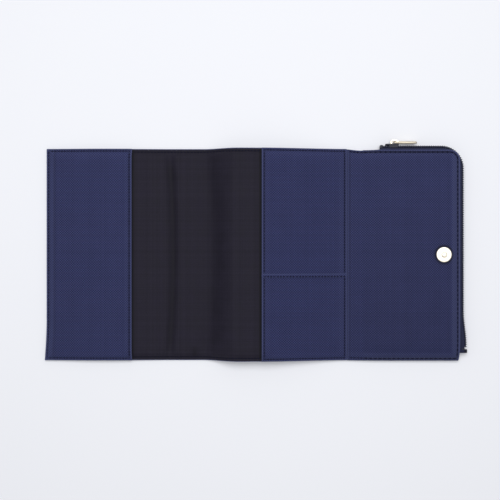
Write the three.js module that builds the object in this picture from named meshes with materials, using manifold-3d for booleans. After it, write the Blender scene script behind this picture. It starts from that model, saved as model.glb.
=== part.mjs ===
// Tri-fold travel document holder, opened out flat with its inside up.
//
// Millimetres, +Z up. The design frame has x = 0 at the cover's free edge, y = 0 at mid height and
// z = 0 on the table. From left to right lie the cover with its slip pocket, the soft spine, the arched
// back panel with a ticket slot and a card slot, the side strip, and the closing flap, whose body is a
// flat pocket with an L-shaped zip along its top and free edge. The whole group is moved at the end so
// that its origin is at the bottom centre of its box.

import * as THREE from "three";
import { mergeVertices } from "three/addons/utils/BufferGeometryUtils.js";
import Module from "manifold-3d";

const wasm = await Module();
wasm.setup();

// ---------------------------------------------------------------- driving dimensions

const COVER_WIDTH = 89.1;
const SPINE_WIDTH = 18.5;
const BACK_WIDTH = 98.9;
const SIDE_WIDTH = 21.2;
const FLAP_WIDTH = 54.9;
const BODY_HEIGHT = 145;
const FLAP_HEIGHT = 142.8;

const CANVAS = 0.8;
const INTERLINING = 1.0;
const LINING = 0.4;
const BAG = 0.3;
const TAPE = 0.3;
const LAYER_GAP = 0.2;
const SLOT_GAP = 0.4; // between a slip pocket and the lining behind it
const FOLD_GAP = 0.3; // on each side of a fold

const COVER_SAG = 1.6; // how far the cover stands off the table over the snap socket
const BACK_ARCH = 9.5; // how far the back panel arches off the table
const BACK_CREST = 24; // from the spine fold to the top of the arch

const COVER_POCKET_WIDTH = 58.9;
const BACK_POCKET_WIDTH = 58.6;
const DIVIDER_Y = -14;
const DIVIDER_WIDTH = 2;
const DIVIDER_THICK = 0.6;

const FLAP_THICK = 7.8;
const FLAP_CORNER = 7;

const SNAP_RADIUS = 5.3;
const SNAP_FROM_EDGE = 11.1; // stud centre to the flap's fabric edge
const SOCKET_THICK = 1.2;
const EYELET_HOLE = 3.2;
const SHANK_RADIUS = 1.2;

// The zip's chain faces outward round the flap's edge. "Out" is the distance outside the fabric edge.
const CHAIN_MIDDLE_Z = FLAP_THICK / 2;
const COIL_GAP = 1.0; // between the two coils, where the slider's post runs
const COIL_DEEP = 1.9;
const COIL_OUT = [1.6, 3.0];
const TAPE_OUT = [1.1, 1.4];
const TAPE_IN = -6;
const ZIP_TAIL_Y = -67.1;
const STOP_LENGTH = 1.4;

const SLIDER_START = 4.5; // from the flap fold to the slider's nose
const SLIDER_LENGTH = 9;
const PLATE = 0.8;
const BRIDGE_HEIGHT = 2.9;
const PULL_LENGTH = 15.1;
const PULL_WIDTH = 4.6;
const PULL_THICK = 1.2;

// ---------------------------------------------------------------- derived places

const SPINE_START = COVER_WIDTH;
const BACK_START = SPINE_START + SPINE_WIDTH;
const SIDE_START = BACK_START + BACK_WIDTH;
const FLAP_START = SIDE_START + SIDE_WIDTH;
const FLAP_END = FLAP_START + FLAP_WIDTH;
const HALF_BODY = BODY_HEIGHT / 2;
const HALF_FLAP = FLAP_HEIGHT / 2;
const TAB_END = FLAP_END + 5.6;

// Each layer is [bottom, top] above the base curve.
const OUTER_LAYER = [0, CANVAS];
const INTERLINING_LAYER = [CANVAS + LAYER_GAP, CANVAS + LAYER_GAP + INTERLINING];
const LINING_LAYER = [INTERLINING_LAYER[1] + LAYER_GAP, INTERLINING_LAYER[1] + LAYER_GAP + LINING];
const POCKET_LAYER = [LINING_LAYER[1] + SLOT_GAP, LINING_LAYER[1] + SLOT_GAP + CANVAS];
const DIVIDER_LAYER = [POCKET_LAYER[1] + 0.1, POCKET_LAYER[1] + 0.1 + DIVIDER_THICK];

// The two folds that bring the snap stud onto the socket turn about these points.
const SIDE_AXIS_Z = POCKET_LAYER[1];
const SNAP_X = FLAP_END - SNAP_FROM_EDGE;
const CLOSED_SNAP_X = SIDE_START - (FLAP_THICK - SIDE_AXIS_Z) - (SNAP_X - FLAP_START);
const SOCKET_X = BACK_START + SPINE_START - CLOSED_SNAP_X;

const COIL_LOW_Z = [CHAIN_MIDDLE_Z - COIL_GAP / 2 - COIL_DEEP, CHAIN_MIDDLE_Z - COIL_GAP / 2];
const COIL_HIGH_Z = [CHAIN_MIDDLE_Z + COIL_GAP / 2, CHAIN_MIDDLE_Z + COIL_GAP / 2 + COIL_DEEP];
const TAPE_LOW_Z = [CANVAS + 0.15, CANVAS + 0.15 + TAPE];
const TAPE_HIGH_Z = [FLAP_THICK - TAPE_LOW_Z[1], FLAP_THICK - TAPE_LOW_Z[0]];
const BAG_LOW_Z = [TAPE_LOW_Z[1] + 0.15, TAPE_LOW_Z[1] + 0.15 + BAG];
const BAG_HIGH_Z = [FLAP_THICK - BAG_LOW_Z[1], FLAP_THICK - BAG_LOW_Z[0]];

const ZIP_START_X = FLAP_START + 1;
const COIL_START_X = ZIP_START_X + STOP_LENGTH + 0.3;
const COIL_END_Y = ZIP_TAIL_Y + 2.4 + STOP_LENGTH + 0.3;
const SLIDER_X = FLAP_START + SLIDER_START;
const OUTER_PLATE_OUT = [COIL_OUT[1] + 0.3, COIL_OUT[1] + 0.3 + PLATE];
const INNER_PLATE_OUT = [0.1, 0.85];
const BRIDGE_TOP_OUT = OUTER_PLATE_OUT[1] + BRIDGE_HEIGHT;
const PULL_AXIS_X = SLIDER_X + 6.3;
const PULL_OUT = OUTER_PLATE_OUT[1] + 1.3;

// ---------------------------------------------------------------- shape helpers

// A closed geometry as a manifold solid.
function solid(geometry) {
  const bare = geometry.clone();
  bare.deleteAttribute("normal");
  bare.deleteAttribute("uv");
  const merged = mergeVertices(bare, 1e-5);
  const mesh = new wasm.Mesh({
    numProp: 3,
    vertProperties: new Float32Array(merged.attributes.position.array),
    triVerts: new Uint32Array(merged.index.array),
  });
  return new wasm.Manifold(mesh);
}

// A manifold solid as a three.js geometry.
function geometryOf(manifold) {
  const mesh = manifold.getMesh();
  const geometry = new THREE.BufferGeometry();
  geometry.setAttribute("position", new THREE.BufferAttribute(mesh.vertProperties, 3));
  geometry.setIndex(new THREE.BufferAttribute(mesh.triVerts, 1));
  geometry.computeVertexNormals();
  return geometry;
}

function cut(geometry, ...tools) {
  return geometryOf(tools.reduce((body, tool) => body.subtract(solid(tool)), solid(geometry)));
}

function join(first, ...others) {
  return geometryOf(others.reduce((body, other) => body.add(solid(other)), solid(first)));
}

// A flat plate: an outline in the XY plane between two heights.
function plate(shape, [low, high], curveSegments = 8) {
  const settings = { depth: high - low, bevelEnabled: false, curveSegments };
  const geometry = new THREE.ExtrudeGeometry(shape, settings);
  return geometry.translate(0, 0, low);
}

// A plate standing on edge: an outline in the XZ plane between two places along y.
function upright(shape, [low, high], curveSegments = 8) {
  const settings = { depth: high - low, bevelEnabled: false, curveSegments };
  const geometry = new THREE.ExtrudeGeometry(shape, settings);
  return geometry.rotateX(Math.PI / 2).translate(0, high, 0);
}

function outline(points) {
  return new THREE.Shape(points.map(([x, y]) => new THREE.Vector2(x, y)));
}

function box([x0, x1], [y0, y1], [z0, z1]) {
  const geometry = new THREE.BoxGeometry(x1 - x0, y1 - y0, z1 - z0);
  return geometry.translate((x0 + x1) / 2, (y0 + y1) / 2, (z0 + z1) / 2);
}

// A turned solid about a vertical axis at (x, y); the profile is [radius, height] pairs.
function turned(profile, x, y, z, segments = 36) {
  const points = profile.map(([radius, height]) => new THREE.Vector2(radius, height));
  return new THREE.LatheGeometry(points, segments).rotateX(Math.PI / 2).translate(x, y, z);
}

// A smooth rise and fall between start and end, highest at crest.
function hump(x, start, crest, end, height) {
  if (x <= start || x >= end) {
    return 0;
  }
  const share = x < crest ? (x - start) / (crest - start) : (end - x) / (end - crest);
  return (height * (1 - Math.cos(Math.PI * share))) / 2;
}

// The base curve: how far the underside of the canvas stands off the table.
function baseHeight(x) {
  const cover = hump(x, 0, SOCKET_X, SPINE_START, COVER_SAG);
  const back = hump(x, BACK_START, BACK_START + BACK_CREST, SIDE_START, BACK_ARCH);
  return cover + back;
}

// A sheet of cloth that follows the base curve.
function sheet([x0, x1], [y0, y1], [low, high], step = 4.5) {
  const count = Math.max(1, Math.round((x1 - x0) / step));
  const places = Array.from({ length: count + 1 }, (_, i) => x0 + ((x1 - x0) * i) / count);
  const under = places.map((x) => [x, baseHeight(x) + low]);
  const over = places.map((x) => [x, baseHeight(x) + high]).reverse();
  return upright(outline([...under, ...over]), [y0, y1]);
}

// The flap's outline, with its rounded outer top corner, pulled in by inset.
function flapOutline(inset = 0) {
  const right = FLAP_END - inset;
  const top = HALF_FLAP - inset;
  const radius = FLAP_CORNER - inset;
  const shape = new THREE.Shape();
  shape.moveTo(FLAP_START + FOLD_GAP, inset - HALF_FLAP);
  shape.lineTo(right, inset - HALF_FLAP);
  shape.lineTo(right, top - radius);
  shape.absarc(right - radius, top - radius, radius, 0, Math.PI / 2, false);
  shape.lineTo(FLAP_START + FOLD_GAP, top);
  shape.closePath();
  return shape;
}

// One line round the zip's L-shaped way, at a distance outside the fabric edge.
function zipLine(out, startX, endY) {
  const centreX = FLAP_END - FLAP_CORNER;
  const centreY = HALF_FLAP - FLAP_CORNER;
  const radius = FLAP_CORNER + out;
  const steps = 10;
  const corner = Array.from({ length: steps + 1 }, (_, i) => {
    const angle = (Math.PI / 2) * (1 - i / steps);
    return [centreX + radius * Math.cos(angle), centreY + radius * Math.sin(angle)];
  });
  return [[startX, HALF_FLAP + out], ...corner, [FLAP_END + out, endY]];
}

// A solid strip that runs the zip's whole way.
function zipBand([inner, outer], heights, startX, endY) {
  const outside = zipLine(outer, startX, endY);
  const inside = zipLine(inner, startX, endY).reverse();
  return plate(outline([...outside, ...inside]), heights);
}

// ---------------------------------------------------------------- materials

function material(color, roughness, metalness = 0) {
  return new THREE.MeshStandardMaterial({ color, roughness, metalness });
}

const canvas = material(0x31365a, 0.85);
const nylon = material(0x28262f, 0.6);
const foam = material(0xb9b7b2, 0.95);
const tapeCloth = material(0x1c1e30, 0.8);
const coilPlastic = material(0x1a1c2a, 0.45);
const enamel = material(0x20233c, 0.4, 0.5);
const paleGold = material(0xd9cfae, 0.3, 1);

function part(name, geometry, look) {
  const mesh = new THREE.Mesh(geometry, look);
  mesh.name = name;
  return mesh;
}

function assembly(...members) {
  const group = new THREE.Group();
  group.add(...members);
  return group;
}

// ---------------------------------------------------------------- cover

function makeCover() {
  const width = [0, SPINE_START - FOLD_GAP];
  const height = [-HALF_BODY, HALF_BODY];
  const inner = [1, HALF_BODY - 1];
  const hole = (radius) => turned([[0, 0], [radius, 0], [radius, 6], [0, 6]], SOCKET_X, 0, 0, 24);
  const outer = cut(sheet(width, height, OUTER_LAYER), hole(EYELET_HOLE));
  const paddingWidth = [inner[0], width[1] - 1];
  const padding = cut(sheet(paddingWidth, [-inner[1], inner[1]], INTERLINING_LAYER), hole(4.8));
  const socket = [[2.2, 0.25], [2.5, 0], [4.7, 0], [SNAP_RADIUS, 0.4], [SNAP_RADIUS, SOCKET_THICK],
    [2.2, SOCKET_THICK], [2.2, 0.25]];
  const eyelet = [[2.3, 1.25], [2.9, 1.25], [2.9, 2.7], [4.4, 2.7], [4.4, 3.2], [2.3, 3.2], [2.3, 1.25]];
  return assembly(
    part("cover_outer", outer, canvas),
    part("cover_interlining", padding, foam),
    part("cover_lining", sheet(width, height, LINING_LAYER), nylon),
    part("cover_pocket", sheet([0, COVER_POCKET_WIDTH], height, POCKET_LAYER), canvas),
    part("snap_socket", turned(socket, SOCKET_X, 0, 0), paleGold),
    part("snap_socket_eyelet", turned(eyelet, SOCKET_X, 0, 0), paleGold),
  );
}

// ---------------------------------------------------------------- spine and back

function makeSpine() {
  const width = [SPINE_START + FOLD_GAP, BACK_START - FOLD_GAP];
  const height = [-HALF_BODY, HALF_BODY];
  return assembly(
    part("spine_outer", sheet(width, height, OUTER_LAYER), canvas),
    part("spine_lining", sheet(width, height, LINING_LAYER), nylon),
  );
}

function makeBack() {
  const width = [BACK_START + FOLD_GAP, SIDE_START - FOLD_GAP];
  const height = [-HALF_BODY, HALF_BODY];
  const inner = HALF_BODY - 1;
  const pocketWidth = [SIDE_START - FOLD_GAP - BACK_POCKET_WIDTH, SIDE_START - FOLD_GAP];
  const seam = 0.15;
  const divider = [DIVIDER_Y - DIVIDER_WIDTH / 2, DIVIDER_Y + DIVIDER_WIDTH / 2];
  return assembly(
    part("back_outer", sheet(width, height, OUTER_LAYER), canvas),
    part("back_interlining", sheet([width[0] + 1, width[1] - 1], [-inner, inner], INTERLINING_LAYER), foam),
    part("back_lining", sheet(width, height, LINING_LAYER), nylon),
    part("ticket_pocket", sheet(pocketWidth, [DIVIDER_Y + seam, HALF_BODY], POCKET_LAYER), canvas),
    part("card_pocket", sheet(pocketWidth, [-HALF_BODY, DIVIDER_Y - seam], POCKET_LAYER), canvas),
    part("pocket_divider", sheet(pocketWidth, divider, DIVIDER_LAYER), canvas),
  );
}

// ---------------------------------------------------------------- side strip

// The strip is as thin as the back panel at one fold and as thick as the flap at the other.
function makeSide() {
  const x0 = SIDE_START + FOLD_GAP;
  const x1 = FLAP_START - FOLD_GAP;
  const inner = outline([
    [x0, POCKET_LAYER[0]],
    [x1, FLAP_THICK - CANVAS],
    [x1, FLAP_THICK],
    [x0, POCKET_LAYER[1]],
  ]);
  const height = [-HALF_FLAP, HALF_FLAP];
  return assembly(
    part("side_outer", box([x0, x1], height, OUTER_LAYER), canvas),
    part("side_inner", upright(inner, height), canvas),
  );
}

// ---------------------------------------------------------------- flap

function makeFlapPanels() {
  const hole = turned([[0, 0], [1.5, 0], [1.5, 2], [0, 2]], SNAP_X, 0, FLAP_THICK - 1.5, 24);
  const inner = cut(plate(flapOutline(), [FLAP_THICK - CANVAS, FLAP_THICK]), hole);
  const seamWidth = [FLAP_START + FOLD_GAP, FLAP_END];
  const seam = box(seamWidth, [-HALF_FLAP, 1.5 - HALF_FLAP], [CANVAS + 0.05, FLAP_THICK - CANVAS - 0.05]);
  return assembly(
    part("flap_outer", plate(flapOutline(), OUTER_LAYER), canvas),
    part("flap_inner", inner, canvas),
    part("flap_bottom_seam", seam, canvas),
    part("zip_bag_outer", plate(flapOutline(1.8), BAG_LOW_Z), nylon),
    part("zip_bag_inner", plate(flapOutline(1.8), BAG_HIGH_Z), nylon),
  );
}

// A tape lies flat under the canvas, then turns along the chain.
function tape(flatZ, wallZ) {
  const flat = zipBand([TAPE_IN, TAPE_OUT[1]], flatZ, ZIP_START_X, ZIP_TAIL_Y);
  const wall = zipBand(TAPE_OUT, wallZ, ZIP_START_X, ZIP_TAIL_Y);
  return join(flat, wall);
}

function makeZip() {
  const stopZ = [COIL_LOW_Z[0], COIL_HIGH_Z[1]];
  const top = box(
    [ZIP_START_X, ZIP_START_X + STOP_LENGTH],
    [HALF_FLAP + COIL_OUT[0], HALF_FLAP + COIL_OUT[1] + 0.3],
    stopZ,
  );
  const bottom = box(
    [FLAP_END + COIL_OUT[0], FLAP_END + COIL_OUT[1] + 0.3],
    [COIL_END_Y - 0.3 - STOP_LENGTH, COIL_END_Y - 0.3],
    stopZ,
  );
  const tab = outline([
    [FLAP_END + 1.6, ZIP_TAIL_Y],
    [TAB_END - 0.5, ZIP_TAIL_Y + 0.1],
    [TAB_END, ZIP_TAIL_Y + 0.6],
    [TAB_END - 0.2, ZIP_TAIL_Y + 2.1],
    [FLAP_END + 1.6, ZIP_TAIL_Y + 2.3],
  ]);
  return assembly(
    part("zip_tape_outer", tape(TAPE_LOW_Z, [TAPE_LOW_Z[0], COIL_LOW_Z[1]]), tapeCloth),
    part("zip_tape_inner", tape(TAPE_HIGH_Z, [COIL_HIGH_Z[0], TAPE_HIGH_Z[1]]), tapeCloth),
    part("zip_coil_outer", zipBand(COIL_OUT, COIL_LOW_Z, COIL_START_X, COIL_END_Y), coilPlastic),
    part("zip_coil_inner", zipBand(COIL_OUT, COIL_HIGH_Z, COIL_START_X, COIL_END_Y), coilPlastic),
    part("zip_top_stop", top, enamel),
    part("zip_bottom_stop", bottom, enamel),
    part("zip_tape_end", plate(tab, [CHAIN_MIDDLE_Z - 1.6, CHAIN_MIDDLE_Z + 1.6]), tapeCloth),
  );
}

function makeStud() {
  const stud = [[0, 0], [4.6, 0], [SNAP_RADIUS, 0.3], [SNAP_RADIUS, 0.6], [4.9, 0.9], [4.3, 0.9],
    [3.9, 0.6], [2.3, 0.6], [1.6, 0.9], [1.5, 1.6], [1.9, 1.9], [1.9, 2.2], [1.3, 2.6], [0, 2.6]];
  const rivet = [[0, 0], [4.5, 0], [4.5, 0.4], [SHANK_RADIUS, 0.4], [SHANK_RADIUS, 1.25], [0, 1.25]];
  return assembly(
    part("snap_stud", turned(stud, SNAP_X, 0, FLAP_THICK), paleGold),
    part("snap_stud_rivet", turned(rivet, SNAP_X, 0, BAG_HIGH_Z[1] + 0.1), paleGold),
  );
}

// ---------------------------------------------------------------- zip slider and its pull

// Two plates joined by a post between the coils; the outer plate's rims wrap the chain.
function makeSlider() {
  const y = (out) => HALF_FLAP + out;
  const nose = 3.15;
  const tail = 2.85;
  const x0 = SLIDER_X;
  const x1 = SLIDER_X + SLIDER_LENGTH;
  const face = outline([
    [x0 + 1, CHAIN_MIDDLE_Z - nose + 0.6],
    [x0 + 2.4, CHAIN_MIDDLE_Z - nose],
    [x1 - 0.6, CHAIN_MIDDLE_Z - tail],
    [x1, CHAIN_MIDDLE_Z - tail + 0.6],
    [x1, CHAIN_MIDDLE_Z + tail - 0.6],
    [x1 - 0.6, CHAIN_MIDDLE_Z + tail],
    [x0 + 2.4, CHAIN_MIDDLE_Z + nose],
    [x0 + 1, CHAIN_MIDDLE_Z + nose - 0.6],
    [x0, CHAIN_MIDDLE_Z + 1.2],
    [x0, CHAIN_MIDDLE_Z - 1.2],
  ]);
  const rimOut = [y(TAPE_OUT[1] + 0.25), y(OUTER_PLATE_OUT[0] + 0.1)];
  const coilEdge = (COIL_GAP + 2 * COIL_DEEP) / 2 + 0.1;
  const rimX = [x0 + 2.4, x1 - 0.6];
  const lowRim = box(rimX, rimOut, [CHAIN_MIDDLE_Z - tail, CHAIN_MIDDLE_Z - coilEdge]);
  const highRim = box(rimX, rimOut, [CHAIN_MIDDLE_Z + coilEdge, CHAIN_MIDDLE_Z + tail]);
  const innerFaceZ = [CHAIN_MIDDLE_Z - 2.4, CHAIN_MIDDLE_Z + 2.4];
  const innerFace = box([x0 + 0.6, x1 - 0.3], INNER_PLATE_OUT.map(y), innerFaceZ);
  const postOut = [y(INNER_PLATE_OUT[1] - 0.2), y(OUTER_PLATE_OUT[0] + 0.2)];
  const post = box([x0 + 1, x0 + 4], postOut, [CHAIN_MIDDLE_Z - 0.25, CHAIN_MIDDLE_Z + 0.25]);
  const body = join(upright(face, OUTER_PLATE_OUT.map(y)), lowRim, highRim, innerFace, post);

  const foot = y(OUTER_PLATE_OUT[1] + 0.05);
  const crown = y(BRIDGE_TOP_OUT);
  const left = x0 + 3.6;
  const right = x0 + 8.8;
  const leg = 1;
  const arch = outline([
    [left, foot],
    [left + leg, foot],
    [left + leg, crown - 1.1],
    [left + leg + 0.4, crown - 0.8],
    [right - leg - 0.4, crown - 0.8],
    [right - leg, crown - 1.1],
    [right - leg, foot],
    [right, foot],
    [right, crown - 0.9],
    [right - 0.9, crown],
    [left + 0.9, crown],
    [left, crown - 0.9],
  ]);
  return assembly(
    part("zip_slider_body", body, enamel),
    part("zip_slider_bridge", plate(arch, [CHAIN_MIDDLE_Z - 0.7, CHAIN_MIDDLE_Z + 0.7]), paleGold),
  );
}

// A flat tab with a window, so that its end bar turns under the slider's bridge.
function makePull() {
  const half = PULL_WIDTH / 2;
  const start = PULL_AXIS_X - PULL_THICK / 2;
  const end = PULL_AXIS_X + PULL_LENGTH;
  const shape = outline([
    [start, CHAIN_MIDDLE_Z - 1.6],
    [start + 0.5, CHAIN_MIDDLE_Z - 2],
    [start + 5, CHAIN_MIDDLE_Z - 2],
    [end - 4, CHAIN_MIDDLE_Z - half],
    [end - 1, CHAIN_MIDDLE_Z - half],
    [end, CHAIN_MIDDLE_Z - half + 1],
    [end, CHAIN_MIDDLE_Z + half - 1],
    [end - 1, CHAIN_MIDDLE_Z + half],
    [end - 4, CHAIN_MIDDLE_Z + half],
    [start + 5, CHAIN_MIDDLE_Z + 2],
    [start + 0.5, CHAIN_MIDDLE_Z + 2],
    [start, CHAIN_MIDDLE_Z + 1.6],
  ]);
  const window = 1.05;
  const hole = outline([
    [start + PULL_THICK, CHAIN_MIDDLE_Z - window],
    [start + PULL_THICK, CHAIN_MIDDLE_Z + window],
    [start + PULL_THICK + 3.4, CHAIN_MIDDLE_Z + window],
    [start + PULL_THICK + 3.4, CHAIN_MIDDLE_Z - window],
  ]);
  shape.holes.push(hole);
  const middle = HALF_FLAP + PULL_OUT;
  const depth = [middle - PULL_THICK / 2, middle + PULL_THICK / 2];
  return assembly(part("pull_tab", upright(shape, depth), paleGold));
}

// ---------------------------------------------------------------- the holder

const holder = new THREE.Group();
holder.add(makeCover(), makeSpine(), makeBack(), makeSide());
holder.add(makeFlapPanels(), makeZip(), makeStud(), makeSlider(), makePull());
const top = HALF_FLAP + BRIDGE_TOP_OUT;
holder.position.set(-TAB_END / 2, (HALF_BODY - top) / 2, 0);

export default holder;
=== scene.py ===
"""Looks for the tri-fold travel document holder: woven canvas, nylon lining, hems, stitching, zip and snap.

Every shape is worked out in millimetres in the frame's own axes, and becomes metres when its mesh is made.
The places of the folds, edges and fittings are read from the frame.
"""

import math

import bmesh
import bpy
import numpy as np
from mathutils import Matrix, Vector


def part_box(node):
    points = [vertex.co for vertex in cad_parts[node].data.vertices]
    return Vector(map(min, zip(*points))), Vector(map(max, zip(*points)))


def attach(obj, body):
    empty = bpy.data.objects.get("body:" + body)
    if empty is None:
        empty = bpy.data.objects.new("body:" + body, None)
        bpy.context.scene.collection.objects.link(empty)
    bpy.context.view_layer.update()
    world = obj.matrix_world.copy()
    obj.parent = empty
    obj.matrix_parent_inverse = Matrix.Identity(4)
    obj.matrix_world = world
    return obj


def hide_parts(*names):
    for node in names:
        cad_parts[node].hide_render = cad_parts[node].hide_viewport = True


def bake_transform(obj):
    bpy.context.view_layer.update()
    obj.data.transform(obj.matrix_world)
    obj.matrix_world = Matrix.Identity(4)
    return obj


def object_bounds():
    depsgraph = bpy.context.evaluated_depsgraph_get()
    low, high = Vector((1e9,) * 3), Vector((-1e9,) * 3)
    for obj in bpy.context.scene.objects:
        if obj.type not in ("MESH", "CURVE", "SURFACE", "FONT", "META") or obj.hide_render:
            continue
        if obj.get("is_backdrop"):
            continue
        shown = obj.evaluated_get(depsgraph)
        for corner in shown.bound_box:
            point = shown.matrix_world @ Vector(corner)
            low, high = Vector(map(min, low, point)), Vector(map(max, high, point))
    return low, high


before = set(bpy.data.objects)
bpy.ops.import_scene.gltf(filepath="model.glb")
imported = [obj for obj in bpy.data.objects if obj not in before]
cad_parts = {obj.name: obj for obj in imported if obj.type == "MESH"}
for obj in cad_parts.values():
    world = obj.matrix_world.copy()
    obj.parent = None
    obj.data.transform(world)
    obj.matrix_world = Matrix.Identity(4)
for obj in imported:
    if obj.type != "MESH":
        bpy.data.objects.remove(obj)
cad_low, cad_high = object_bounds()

MM = 0.001

# ---- places, read from the frame


def span(node, axis):
    """Lowest and highest value of a CAD node along one axis, in millimetres."""
    low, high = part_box(node)
    return low[axis] / MM, high[axis] / MM


def middle(node, axis):
    low, high = span(node, axis)
    return (low + high) / 2


def fold(before, after):
    """Where one panel ends and the next begins."""
    return (span(before, 0)[1] + span(after, 0)[0]) / 2


LEFT = span("cover_outer", 0)[0]
COVER_FOLD = fold("cover_outer", "spine_outer")
SPINE_FOLD = fold("spine_outer", "back_outer")
SIDE_FOLD = fold("back_outer", "side_outer")
FLAP_FOLD = fold("side_outer", "flap_outer")
RIGHT = span("flap_outer", 0)[1]
COVER_POCKET_EDGE = span("cover_pocket", 0)[1]
SLOT_EDGE = span("ticket_pocket", 0)[0]
DIVIDER = middle("pocket_divider", 1)
BOTTOM, TOP = span("cover_outer", 1)
MID_Y = (BOTTOM + TOP) / 2
HALF_BODY = TOP - MID_Y
FLAP_HIGH = span("flap_outer", 1)[1]
HALF_FLAP = FLAP_HIGH - MID_Y
FLAP_DROP = 1.1  # the flap's cloth reaches this much lower than the frame's
FLAP_BOTTOM = MID_Y - HALF_FLAP - FLAP_DROP
SNAP = (middle("snap_stud", 0), middle("snap_stud", 1))
SOCKET = (middle("snap_socket", 0), middle("snap_socket", 1))
MID_SPINE = (COVER_FOLD + SPINE_FOLD) / 2
MID_SIDE = (SIDE_FOLD + FLAP_FOLD) / 2

# Heights of the layers above the base curve, as the frame has them.
CANVAS = 0.8
LINING = 0.4
PADDING = 1.0
COVER_SAG = 1.6
LINING_TOP = span("spine_lining", 2)[1]
BACK_ARCH = span("back_lining", 2)[1] - LINING_TOP
BACK_CREST = 24.0
ARCH_FULLNESS = 0.82
FLAP_TOP = span("flap_inner", 2)[1]
FLAP_CORNER = 7.0
CHAIN_Z = FLAP_TOP / 2

# The zip. "Out" is the distance outside the flap's cloth edge.
TAPE_OUT = span("zip_tape_outer", 0)[1] - RIGHT
COIL_OUT = (TAPE_OUT + 0.2, span("zip_coil_outer", 0)[1] - RIGHT)
COIL_LOW = span("zip_coil_outer", 2)
COIL_HIGH = span("zip_coil_inner", 2)
COIL_START = span("zip_coil_outer", 0)[0]
COIL_END = span("zip_coil_outer", 1)[0]
TAPE_START = span("zip_tape_outer", 0)[0]
TAPE_END = span("zip_tape_outer", 1)[0]
COIL_PITCH = 1.5
COIL_THREAD = 0.33
ZIP_CORNER = 12.4  # the chain cuts the cloth's corner, because it can't bend as tightly
TAIL_DRIFT = 1.9  # how far the chain's lower end wanders outward
DRIFT_FROM = 38.0  # below the middle
DRIFT_LENGTH = 24.0

TURNED_EDGE = 6.0  # how deep the canvas is turned in at the cover's end
HEM = 1.7  # from a sewn edge to its line of stitches
HEM_WIDTH = 5.0  # how wide the doubled cloth of a hem is
HEM_STEP = 0.35  # spacing of the mesh over a hem
HEM_RISE = 0.2
GROOVE_DEPTH = 0.3
FINE_PITCH = 2.15  # stitches on the body
COARSE_PITCH = 3.1  # stitches round the flap
STITCH_BOW = 0.12
SEAL = 0.03  # gap left between two layers that are sewn together

# ---- small maths


def smooth(value, low=0.0, high=1.0):
    """0 below low, 1 above high, and a smooth step between."""
    t = np.clip((value - low) / (high - low), 0, 1)
    return t * t * (3 - 2 * t)


def bell(value, centre, width):
    return np.exp(-(((value - centre) / width) ** 2))


def hump(x, start, crest, end, height, fullness=1.0):
    """A smooth rise and fall, highest at crest. A fullness under 1 keeps the fall high for longer."""
    share = np.where(x < crest, (x - start) / (crest - start), (end - x) / (end - crest))
    share = np.clip(share, 0, 1)
    share = np.where(x < crest, share, share**fullness)
    return height * (1 - np.cos(np.pi * share)) / 2


def quarter_round(share):
    """Rises from 0 to 1 as a quarter of a circle."""
    return np.sqrt(1 - (1 - np.clip(share, 0, 1)) ** 2)


def ripple(x, y, wavelength, seed, waves=7):
    """Soft unevenness: a few long sine waves in seeded directions, about 1 high."""
    draw = np.random.default_rng(seed)
    total = 0.0
    for _ in range(waves):
        angle, phase = draw.uniform(0, 2 * np.pi, 2)
        length = wavelength * draw.uniform(0.6, 1.7)
        along = x * np.cos(angle) + y * np.sin(angle)
        total = total + np.sin(2 * np.pi * along / length + phase)
    return total / math.sqrt(waves)


# ---- the cloth's surfaces
# Each takes arrays of x and y and gives the height of the middle of the cloth.


def base(x):
    """Underside of the outer canvas."""
    cover = hump(x, LEFT, SOCKET[0], COVER_FOLD, COVER_SAG)
    back = hump(x, SPINE_FOLD, SPINE_FOLD + BACK_CREST, SIDE_FOLD, BACK_ARCH, ARCH_FULLNESS)
    return cover + back


def edge_distance(x, y):
    """Distance inside the body's sewn edge: its left end and its two long sides."""
    sides = HALF_BODY - np.abs(y - MID_Y)
    return np.minimum(sides, x - LEFT)


def outer_mid(x, y):
    return base(x) + CANVAS / 2


FIRST_CREASE = LEFT + 87.0
SECOND_CREASE = LEFT + 117.0


def creases(x, y):
    """How deep in each of the lining's two creases a place is, and where the first one runs."""
    bow = ((y - MID_Y) / HALF_BODY) ** 2
    line_x = FIRST_CREASE - 2.6 * bow
    return bell(x, line_x, 2.6), bell(x, SECOND_CREASE - 9.0 * bow, 5.5), line_x


def lining_shade(x, y):
    """Painted shade on the nylon: darker inside its creases, along the pockets' mouths and in the pucker at
    the hem.
    """
    first, second, _ = creases(x, y)
    crease_shade = (0.5 * first + 0.1 * second) * smooth(HALF_BODY - np.abs(y - MID_Y), 3, 16)
    mouths = bell(x, COVER_POCKET_EDGE + 0.4, 0.8) + bell(x, SLOT_EDGE - 0.6, 1.1)
    pucker = 0.5 * bell(x, SPINE_FOLD - 6, 2.2) * bell(y, BOTTOM + 5, 4)
    return np.clip(crease_shade + mouths + pucker, 0, 1)


def lining_mid(x, y):
    """The lining lies on the outer canvas at the sewn edge, and over the padding inside it."""
    inside = smooth(edge_distance(x, y), 0, 7)
    loft = (LINING_TOP - LINING - CANVAS - SEAL) * inside
    first, second, line_x = creases(x, y)
    rolls = 0.5 * bell(x, line_x + 5.0, 2.6) + 0.3 * bell(x, line_x - 5.0, 3.0)
    folds = 0.1 * ripple(x, y * 0.18, 13, 3) + 0.05 * ripple(x, y * 0.3, 6, 5)
    bare = smooth(x, COVER_POCKET_EDGE - 2, COVER_POCKET_EDGE + 4)
    bare = bare * smooth(SLOT_EDGE - x, -2, 4)
    relief = (rolls - 1.2 * first - 0.6 * second + folds) * inside * bare
    return base(x) + CANVAS + SEAL + LINING / 2 + np.maximum(loft + relief, 0)


def downward(y):
    """0 at the holder's top edge and 1 at its bottom: a share for painted shade, as the canvas is darker
    away from the light above its top edge.
    """
    return smooth(TOP - y, 0, 2 * HALF_BODY)


# Painted shade: the slots are a little darker towards the bottom.
def slot_shade(x, y):
    return 0.06 * downward(y)


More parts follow.
